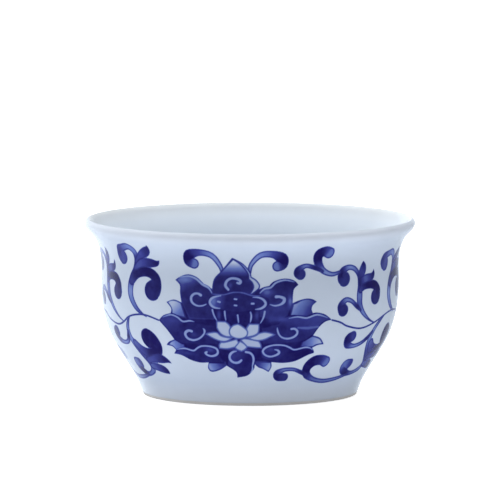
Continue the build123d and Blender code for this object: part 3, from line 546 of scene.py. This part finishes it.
def turned(name, section):
    """Turns a closed section, a list of (radius, height), about the axis. Radius 0 makes one point."""
    section = np.asarray(section, float)
    sides = np.diff(np.vstack([section, section[:1]]), axis=0)
    length = np.concatenate([[0], np.cumsum(np.hypot(*sides.T))])
    v = length / length[-1]
    angles = np.arange(ROUND_STEPS) * 2 * math.pi / ROUND_STEPS
    vertices, rings = [], []
    for radius, height in section:
        if radius < ON_AXIS:
            rings.append(np.full(ROUND_STEPS, len(vertices)))
            vertices.append((0, 0, height))
        else:
            rings.append(np.arange(ROUND_STEPS) + len(vertices))
            vertices += [(radius * math.sin(a), -radius * math.cos(a), height) for a in angles]
    faces, uvs = [], []
    for i in range(len(section)):
        following = (i + 1) % len(section)
        low, high = rings[i], rings[following]
        if section[i][0] < ON_AXIS and section[following][0] < ON_AXIS:
            continue
        for j in range(ROUND_STEPS):
            k = (j + 1) % ROUND_STEPS
            corners = [
                (low[j], j, v[i]),
                (low[k], j + 1, v[i]),
                (high[k], j + 1, v[i + 1]),
                (high[j], j, v[i + 1]),
            ]
            if low[j] == low[k]:
                del corners[1]
            if high[j] == high[k]:
                del corners[-1]
            faces.append([corner[0] for corner in corners])
            uvs += [(corner[1] / ROUND_STEPS, corner[2]) for corner in corners]
    return mesh_object(name, np.array(vertices), faces, uvs)


def glaze_sections():
    """The closed sections of the three coats of glaze."""
    outside, outside_way = spline(OUTER_WALL, OUTER_START, OUTER_END, WALL_STEPS)
    inside, inside_way = spline(INNER_WALL, INNER_START, INNER_END, WALL_STEPS)
    under_outside = beside(outside, outside_way, -GLAZE)
    under_inside = beside(inside, inside_way, -GLAZE)
    foot_way = (FOOT_TOP[0] - FOOT_RADIUS) / FOOT_TOP[1]
    mouth_way = (RECESS_RADIUS - RECESS_MOUTH_RADIUS) / RECESS_Z
    foot = (FOOT_RADIUS + foot_way * BARE_FOOT_Z, BARE_FOOT_Z)
    mouth = (RECESS_MOUTH_RADIUS + mouth_way * BARE_FOOT_Z, BARE_FOOT_Z)
    foot_under, mouth_under = (foot[0] - GLAZE, foot[1]), (mouth[0] + GLAZE, mouth[1])
    ceiling = (RECESS_RADIUS + GLAZE, RECESS_Z + GLAZE), (0, RECESS_Z + GLAZE)
    return {
        "outer_glaze": (
            list(under_outside[::-1])
            + [foot_under]
            + rounded_corner(foot_under, foot, FOOT_TOP, BEAD)
            + list(outside)
        ),
        "inner_glaze": list(inside) + list(under_inside[::-1]),
        "base_glaze": (
            [(RECESS_RADIUS * share, RECESS_Z) for share in CEILING_SHARES]
            + rounded_corner((0, RECESS_Z), (RECESS_RADIUS, RECESS_Z), mouth, RECESS_CORNER)
            + rounded_corner((RECESS_RADIUS, RECESS_Z), mouth, mouth_under, BEAD)
            + [mouth_under]
            + list(ceiling)
        ),
    }


def cells_inside(canvas):
    """Turns the grid into triangles that end exactly at the transfer's edge.

    Where a grid edge crosses the edge of the transfer, its nearer end is moved onto the crossing.
    Returns the places, the tone at each of them, and the triangles.
    """
    depth = canvas.depth
    shift = np.zeros(depth.shape + (2,))
    moved = np.full(depth.shape, FAR)
    for di, dj in ((1, 0), (0, 1), (1, 1)):
        near = slice(0, depth.shape[0] - di), slice(0, depth.shape[1] - dj)
        far = slice(di, None), slice(dj, None)
        a, b = depth[near], depth[far]
        crosses = (a > 0) != (b > 0)
        t = a / np.where(crosses, a - b, 1)
        for side, share, way in ((near, t, 1), (far, 1 - t, -1)):
            better = crosses & (share <= 0.5) & (share * math.hypot(di, dj) < moved[side])
            moved[side][better] = (share * math.hypot(di, dj))[better]
            for axis, step in enumerate((di, dj)):
                shift[side][..., axis][better] = (share * step * way * GRID)[better]
    snapped = moved < FAR
    state = np.where(snapped, 0, np.where(depth > 0, 1, -1)).ravel()
    index = np.arange(depth.size).reshape(depth.shape)
    a, b, c, d = index[:-1, :-1], index[1:, :-1], index[1:, 1:], index[:-1, 1:]
    halves = np.stack([a, b, c], -1), np.stack([a, c, d], -1)
    triangles = np.vstack([half.reshape(-1, 3) for half in halves])
    states = state[triangles]
    middle = depth.ravel()[triangles].mean(1) > 0
    triangles = triangles[(states >= 0).all(1) & ((states > 0).any(1) | middle)]
    places = np.stack([canvas.x + shift[..., 0], canvas.z + shift[..., 1]], -1).reshape(-1, 2)
    inside = np.where(snapped, 0, np.clip(depth, 0, EDGE_WIDTH)) / EDGE_WIDTH
    ink = canvas.ink * (EDGE_SHARE + (1 - EDGE_SHARE) * inside)
    triangles = one_clean_sheet(triangles, len(places))
    used, triangles = np.unique(triangles, return_inverse=True)
    return places[used], ink.ravel()[used], triangles.reshape(-1, 3)


def border(triangles):
    """The directed edges that only one triangle has."""
    edges = np.vstack([triangles[:, [0, 1]], triangles[:, [1, 2]], triangles[:, [2, 0]]])
    ordered = np.sort(edges, 1)
    _, first, counts = np.unique(ordered, axis=0, return_index=True, return_counts=True)
    return edges[first[counts == 1]]


def one_clean_sheet(triangles, size):
    """Keeps the largest connected part, and opens it wherever it only touches itself at a point."""
    while True:
        label = np.arange(size)
        changed = True
        while changed:
            lowest = label[triangles].min(1)
            before = label.copy()
            for corner in range(3):
                np.minimum.at(label, triangles[:, corner], lowest)
            label = label[label]
            changed = not np.array_equal(before, label)
        names, counts = np.unique(label[triangles[:, 0]], return_counts=True)
        triangles = triangles[label[triangles[:, 0]] == names[counts.argmax()]]
        touching = np.bincount(border(triangles)[:, 0], minlength=size) > 1
        if not touching.any():
            return triangles
        triangles = triangles[~touching[triangles].any(1)]


def on_wall(x, z, turn, out):
    """Places on the outside of the bowl, a little out from it, for places in a drawing."""
    wall, way = spline(OUTER_WALL, OUTER_START, OUTER_END, FINE_WALL_STEPS)
    surface = beside(wall, way, out)
    radius = np.interp(z, wall[:, 1], surface[:, 0])
    height = np.interp(z, wall[:, 1], surface[:, 1])
    angle = x / ART_RADIUS + turn
    return np.stack([radius * np.sin(angle), -radius * np.cos(angle), height], -1)


def transfer(name, sheet, turn):
    """A thin closed film in the shape of a drawing, wrapped round the bowl."""
    places, ink, triangles = sheet
    x, z = places.T
    front, back = on_wall(x, z, turn, PROUD), on_wall(x, z, turn, -SUNK)
    count = len(places)
    edge = border(triangles)
    faces = triangles.tolist() + (triangles[:, ::-1] + count).tolist()
    faces += np.stack([edge[:, 1], edge[:, 0], edge[:, 0] + count, edge[:, 1] + count], -1).tolist()
    # The front of the film fills most of the UV square, its back gets a strip at the top, and its thin
    # edge shares the UVs of the front.
    across = 0.01 + 0.98 * (x - x.min()) / np.ptp(x)
    up = (z - z.min()) / np.ptp(z)
    front_uv = np.stack([across, 0.01 + 0.92 * up], -1)
    back_uv = np.stack([across, 0.95 + 0.04 * up], -1)
    rim = np.stack([edge[:, 1], edge[:, 0], edge[:, 0], edge[:, 1]], -1)
    uvs = [front_uv[triangles.ravel()], back_uv[triangles[:, ::-1].ravel()], front_uv[rim.ravel()]]
    return mesh_object(name, np.vstack([front, back]), faces, np.vstack(uvs), np.concatenate([ink, ink]))


def place_transfers():
    """Makes the three lotuses and the three vines. Each takes the place of its CAD node."""
    lotus = cells_inside(paint_lotus())
    vine = cells_inside(paint_vine(VINE_STEM, VINE_SCROLLS))
    leaning_stem = VINE_STEM[:1] + leaned(VINE_STEM[1:-1]) + VINE_STEM[-1:]
    leaning_vine = cells_inside(paint_vine(leaning_stem, [leaned(points) for points in VINE_SCROLLS]))
    third = 2 * math.pi / REPEATS
    places = {
        "lotus_front": (lotus, 0),
        "lotus_rear_right": (lotus, third),
        "lotus_rear_left": (lotus, 2 * third),
        "vine_front_right": (vine, 0),
        "vine_rear": (vine, third),
        "vine_front_left": (leaning_vine, 2 * third),
    }
    return {name: transfer(name + "_print", *place) for name, place in places.items()}


# The finishes
GLAZE_COLOUR = (0.55, 0.63, 0.765)
# The paler glaze colour: real thinner glaze at the lip, and painted light near the foot that lifts the shade
# there
GLAZE_THIN_AND_LIT_COLOUR = (0.66, 0.715, 0.81)
# The inside colours are a paler, less blue copy of the glaze: painted light for the brighter, whiter light
# in the bowl
INSIDE_LIT_COLOUR = (0.74, 0.81, 0.895)
INSIDE_LIT_THIN_COLOUR = (0.86, 0.90, 0.935)
BISCUIT_COLOUR = (0.68, 0.68, 0.68)
BISCUIT_DARK_COLOUR = (0.58, 0.57, 0.56)
PAINTED_FOOT_LIGHT = (0.0005, 0.0045)           # heights, in metres, over which the painted light that lifts the shade near the floor fades out above the foot
THIN_LIP = (0.0325, 0.0350)            # and over which the thinner, paler glaze begins towards the lip
CLOUD_SCALE, CLOUD_RANGE = 70.0, (0.965, 1.02)         # cloudiness of the glaze
GLOSS_SCALE, GLOSS_RANGE = 160.0, (0.07, 0.13)         # roughness of the glaze
RIPPLE_SCALE, RIPPLE_HEIGHT = 90.0, 0.00006            # unevenness of its surface
WASH_SCALE, WASH_RANGE = 700.0, (0.95, 1.04)           # unevenness of the cobalt
GRAIN_SCALE, GRAIN_RANGE, GRAIN_HEIGHT = 900.0, (0.65, 0.8), 0.00003       # the bare clay
STAIN_SCALE = 120.0
IOR = 1.5
# What is left of the light that passes a wash of cobalt, by its tone
INK_STOPS = [
    (0.0, (1, 1, 1)), (0.15, (0.67, 0.705, 0.85)), (0.4, (0.25, 0.32, 0.70)), (0.7, (0.08, 0.085, 0.38)),
    (1.0, (0.018, 0.011, 0.13)),
]


class Nodes:
    """The nodes of a material, or of another thing that has nodes, made one after the other."""

    def __init__(self, owner):
        self.owner = owner
        owner.use_nodes = True
        self.tree = owner.node_tree
        self.tree.nodes.clear()

    def add(self, kind, settings=None, **inputs):
        """Adds a node. An input is a value, or a socket of another node.

        An input goes by its name, or by i and its number where the names aren't unique.
        """
        node = self.tree.nodes.new(kind)
        for key, value in (settings or {}).items():
            setattr(node, key, value)
        for key, value in inputs.items():
            name = int(key[1:]) if key[1:].isdigit() else key.replace("_", " ")
            socket = node.inputs[name]
            if isinstance(value, bpy.types.NodeSocket):
                self.tree.links.new(value, socket)
            elif isinstance(value, tuple) and len(socket.default_value) == len(value) + 1:
                socket.default_value = value + (1,)
            else:
                socket.default_value = value
        return node

    def noise(self, scale, detail=2.0):
        """Soft cloudy noise in the frame's own metres, mostly from 0.3 to 0.7."""
        place = self.add("ShaderNodeTexCoord").outputs["Object"]
        return self.add("ShaderNodeTexNoise", Vector=place, Scale=scale, Detail=detail).outputs[0]

    def spread(self, value, low, high, to_low, to_high):
        """Maps a value from one range to another, and stops at its ends."""
        ends = {"From_Min": low, "From_Max": high, "To_Min": to_low, "To_Max": to_high}
        return self.add("ShaderNodeMapRange", Value=value, **ends).outputs[0]

    def varied(self, scale, detail, low, high):
        """A number that varies softly from place to place, from low to high."""
        return self.spread(self.noise(scale, detail), 0.3, 0.7, low, high)

    def varied_grey(self, scale, detail, low, high):
        """The same as a grey, to multiply a colour by."""
        share = self.varied(scale, detail, low, high)
        return self.add("ShaderNodeCombineXYZ", X=share, Y=share, Z=share).outputs[0]

    def times(self, a, b):
        """The product of two numbers."""
        return self.add("ShaderNodeMath", {"operation": "MULTIPLY"}, i0=a, i1=b).outputs[0]

    def choose(self, share, a, b):
        """A number between a and b: a where the share is 0, and b where it is 1."""
        return self.add("ShaderNodeMix", {"data_type": "FLOAT"}, i0=share, i2=a, i3=b).outputs[0]

    def mix(self, share, a, b, blend="MIX"):
        """A colour between a and b, or their product if blend is MULTIPLY."""
        settings = {"data_type": "RGBA", "blend_type": blend}
        return self.add("ShaderNodeMix", settings, i0=share, i6=a, i7=b).outputs[2]

    def height(self):
        """Height above the floor, in metres."""
        place = self.add("ShaderNodeTexCoord").outputs["Object"]
        return self.add("ShaderNodeSeparateXYZ", Vector=place).outputs[2]

    def finish(self, colour, roughness, bump_height, bump_distance):
        """Ends a material with its surface, and returns the material."""
        bump = self.add("ShaderNodeBump", Strength=1.0, Distance=bump_distance, Height=bump_height)
        look = {"Base_Color": colour, "Roughness": roughness, "Normal": bump.outputs[0], "IOR": IOR}
        shader = self.add("ShaderNodeBsdfPrincipled", **look)
        self.add("ShaderNodeOutputMaterial", Surface=shader.outputs[0])
        return self.owner


def glaze_colour(nodes, plain=GLAZE_COLOUR, thin_and_lit_colour=GLAZE_THIN_AND_LIT_COLOUR):
    """Bluish white glaze, a little cloudy. It is thinner, so paler, at the lip. Near the foot it is paler
    too, which is painted light that lifts the shade near the floor.
    """
    height = nodes.height()
    painted_foot_light_share = nodes.spread(height, *PAINTED_FOOT_LIGHT, 1.0, 0.0)
    near_lip = nodes.spread(height, *THIN_LIP, 0.0, 1.0)
    # Paler where the glaze is thin at the lip, and paler near the foot as painted light that lifts the shade
    # by the floor
    lip_thin_foot_lit = nodes.add("ShaderNodeMath", {"operation": "MAXIMUM"}, i0=painted_foot_light_share, i1=near_lip).outputs[0]
    colour = nodes.mix(lip_thin_foot_lit, plain, thin_and_lit_colour)
    return nodes.mix(1.0, colour, nodes.varied_grey(CLOUD_SCALE, 3.0, *CLOUD_RANGE), "MULTIPLY")


def glossy_finish(nodes, colour):
    """The same gloss on the bare glaze and on the transfers under it."""
    roughness = nodes.varied(GLOSS_SCALE, 2.0, *GLOSS_RANGE)
    return nodes.finish(colour, roughness, nodes.noise(RIPPLE_SCALE, 1.0), RIPPLE_HEIGHT)


def glaze_material():
    """The glaze on the outside and under the foot."""
    nodes = Nodes(bpy.data.materials.new("blue_white_glaze"))
    return glossy_finish(nodes, glaze_colour(nodes))


def lit_inside_glaze_material():
    """The inside is a paler, less blue copy of the same glaze: painted light for the brighter, whiter light
    inside the bowl.
    """
    nodes = Nodes(bpy.data.materials.new("painted_light_inside_glaze"))
    return glossy_finish(nodes, glaze_colour(nodes, INSIDE_LIT_COLOUR, INSIDE_LIT_THIN_COLOUR))


def cobalt_material():
    """The wash of cobalt under the glaze. Its tone is painted on each transfer."""
    nodes = Nodes(bpy.data.materials.new("cobalt_under_glaze"))
    ink = nodes.add("ShaderNodeAttribute", {"attribute_name": "ink"}).outputs["Fac"]
    uneven = nodes.varied(WASH_SCALE, 3.0, *WASH_RANGE)
    ramp = nodes.add("ShaderNodeValToRGB", Fac=nodes.times(ink, uneven))
    stops = ramp.color_ramp.elements
    while len(stops) < len(INK_STOPS):
        stops.new(0.5)
    for stop, (position, colour) in zip(stops, INK_STOPS):
        stop.position = position
        stop.color = colour + (1,)
    return glossy_finish(nodes, nodes.mix(1.0, glaze_colour(nodes), ramp.outputs[0], "MULTIPLY"))


def biscuit_material():
    """The bare fired clay of the foot ring: matt, with a fine grain."""
    nodes = Nodes(bpy.data.materials.new("biscuit_porcelain"))
    grain = nodes.noise(GRAIN_SCALE, 4.0)
    stained = nodes.mix(nodes.noise(STAIN_SCALE), BISCUIT_COLOUR, BISCUIT_DARK_COLOUR)
    specks = nodes.spread(grain, 0.6, 0.8, 0.0, 0.5)
    colour = nodes.mix(specks, stained, BISCUIT_DARK_COLOUR)
    roughness = nodes.spread(grain, 0.3, 0.7, *GRAIN_RANGE)
    return nodes.finish(colour, roughness, grain, GRAIN_HEIGHT)


def adopt(piece, node, material):
    """Gives a piece its finish, hangs it under the root and hides the CAD node in its place."""
    piece.data.materials.clear()
    piece.data.materials.append(material)
    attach(piece, "root")
    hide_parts(node)


# The pieces
glaze, inside_glaze = glaze_material(), lit_inside_glaze_material()
cobalt, biscuit = cobalt_material(), biscuit_material()
for node, section in glaze_sections().items():
    finish = inside_glaze if node == "inner_glaze" else glaze
    adopt(turned(node + "_coat", section), node, finish)
for node, piece in place_transfers().items():
    adopt(piece, node, cobalt)

# The body keeps its own CAD mesh. Only the bare foot ring of it shows.
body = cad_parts["porcelain_body"]
if not body.material_slots:
    body.data.materials.append(biscuit)
for material_slot in body.material_slots:
    material_slot.link = "OBJECT"
    material_slot.material = biscuit


# The studio, in metres
CUP_MIDDLE = Vector((0, 0, 0.0176))
FLOOR_SIZE = 14.0
FLOOR_COLOUR = (0.86, 0.865, 0.87)
FLOOR_SCALE, FLOOR_RANGE = 3.0, (0.985, 1.0)       # cloudiness of the floor
FLOOR_LIGHT, FLOOR_LIGHT_SEEN = 0.44, 0.8          # what the floor gives to the cup, and to the camera
ROOM_COLOUR = (0.97, 0.985, 1.0)
MIRRORED_COLOUR = (0.82, 0.91, 1.0)   # the room as the glaze mirrors it
BACKDROP_STRENGTH = 1.1    # the room as it is seen directly, beyond the edge of the floor
CAMERA_DISTANCE = 1.5
CAMERA_TURN = 4.4          # degrees to the right of straight in front
CAMERA_RISE = 6.4          # degrees above the horizon
FIELD = 0.1                # metres across the picture at the cup
SENSOR = 36.0              # millimetres
CAMERA_CLIP = 20.0
AIM_ABOVE = 0.01116        # the camera aims this far above the middle of the cup


def floor():
    """A pale matt floor that glows a little, so that it turns white in the picture."""
    nodes = Nodes(bpy.data.materials.new("studio_floor"))
    colour = nodes.mix(1.0, FLOOR_COLOUR, nodes.varied_grey(FLOOR_SCALE, 2.0, *FLOOR_RANGE), "MULTIPLY")
    matt = nodes.add("ShaderNodeBsdfDiffuse", Color=colour)
    seen = nodes.add("ShaderNodeLightPath").outputs["Is Camera Ray"]
    strength = nodes.spread(seen, 0, 1, FLOOR_LIGHT, FLOOR_LIGHT_SEEN)
    light = nodes.add("ShaderNodeEmission", Color=(1, 1, 1), Strength=strength)
    both = nodes.add("ShaderNodeAddShader", i0=matt.outputs[0], i1=light.outputs[0])
    nodes.add("ShaderNodeOutputMaterial", Surface=both.outputs[0])
    half = FLOOR_SIZE / 2
    corners = [(-half, -half, 0), (half, -half, 0), (half, half, 0), (-half, half, 0)]
    mesh = bpy.data.meshes.new("floor")
    mesh.from_pydata(corners, [], [(0, 1, 2, 3)])
    mesh.materials.append(nodes.owner)
    sheet = bpy.data.objects.new("floor", mesh)
    bpy.context.scene.collection.objects.link(sheet)
    sheet.visible_glossy = False


def softbox(name, place, size, power):
    """A soft lamp that faces the cup, and that the glaze doesn't mirror."""
    data = bpy.data.lights.new(name, "AREA")
    data.shape = "RECTANGLE"
    data.size, data.size_y = size
    data.energy = power
    lamp = bpy.data.objects.new(name, data)
    lamp.location = place
    lamp.rotation_mode = "QUATERNION"
    lamp.rotation_quaternion = (CUP_MIDDLE - Vector(place)).to_track_quat("-Z", "Y")
    lamp.visible_glossy = False
    bpy.context.scene.collection.objects.link(lamp)


def surroundings():
    """A white room, brighter beyond the cup than behind the camera, and on the left than on the right.

    Directions are the camera's own: side is to its right, up is above it, and ahead is away from it.
    """
    world = bpy.data.worlds.new("studio")
    bpy.context.scene.world = world
    nodes = Nodes(world)
    way = nodes.add("ShaderNodeSeparateXYZ", Vector=nodes.add("ShaderNodeTexCoord").outputs["Camera"])
    side, up, ahead = way.outputs
    ray = nodes.add("ShaderNodeLightPath").outputs
    # What the glaze mirrors: brightest far beyond the cup, at the height of the cup, on the left
    beyond = nodes.spread(ahead, 0.0, 1.0, 0.0, 1.0)
    gloss = nodes.spread(nodes.times(beyond, beyond), 0.0, 1.0, 0.12, 1.7)
    gloss = nodes.times(gloss, nodes.spread(side, -0.5, 0.5, 1.0, 0.35))
    gloss = nodes.times(gloss, nodes.spread(up, -0.5, -0.15, 0.4, 1.0))
    gloss = nodes.times(gloss, nodes.spread(up, 0.1, 0.6, 1.0, 0.45))
    # What lights everything softly
    fill = nodes.spread(ahead, -1.0, 1.0, 0.08, 0.8)
    fill = nodes.times(fill, nodes.spread(side, -1.0, 1.0, 1.5, 0.4))
    lighting = nodes.choose(ray["Is Glossy Ray"], fill, gloss)
    strength = nodes.choose(ray["Is Camera Ray"], lighting, BACKDROP_STRENGTH)
    colour = nodes.mix(ray["Is Glossy Ray"], ROOM_COLOUR, MIRRORED_COLOUR)
    room = nodes.add("ShaderNodeBackground", Color=colour, Strength=strength)
    nodes.add("ShaderNodeOutputWorld", Surface=room.outputs[0])


def camera():
    """A long lens, a little above the rim of the cup and nearly straight in front of it."""
    turn, rise = math.radians(CAMERA_TURN), math.radians(CAMERA_RISE)
    level = math.cos(rise)
    towards = Vector((math.sin(turn) * level, -math.cos(turn) * level, math.sin(rise)))
    data = bpy.data.cameras.new("camera")
    data.sensor_width = SENSOR
    data.lens = SENSOR * CAMERA_DISTANCE / FIELD
    data.clip_end = CAMERA_CLIP
    eye = bpy.data.objects.new("camera", data)
    eye.location = CUP_MIDDLE + towards * CAMERA_DISTANCE
    aim = CUP_MIDDLE + Vector((0, 0, AIM_ABOVE))
    eye.rotation_mode = "QUATERNION"
    eye.rotation_quaternion = (aim - eye.location).to_track_quat("-Z", "Y")
    bpy.context.scene.collection.objects.link(eye)
    bpy.context.scene.camera = eye


floor()
surroundings()
softbox("left_softbox", (-0.95, 0.75, 0.28), (0.9, 0.8), 5.4)
softbox("right_softbox", (1.0, 0.9, 0.4), (0.5, 0.9), 0.3)
softbox("top_softbox", (0.0, -0.1, 1.3), (1.0, 0.8), 15.0)
camera()
bpy.context.scene.view_settings.view_transform = "Standard"
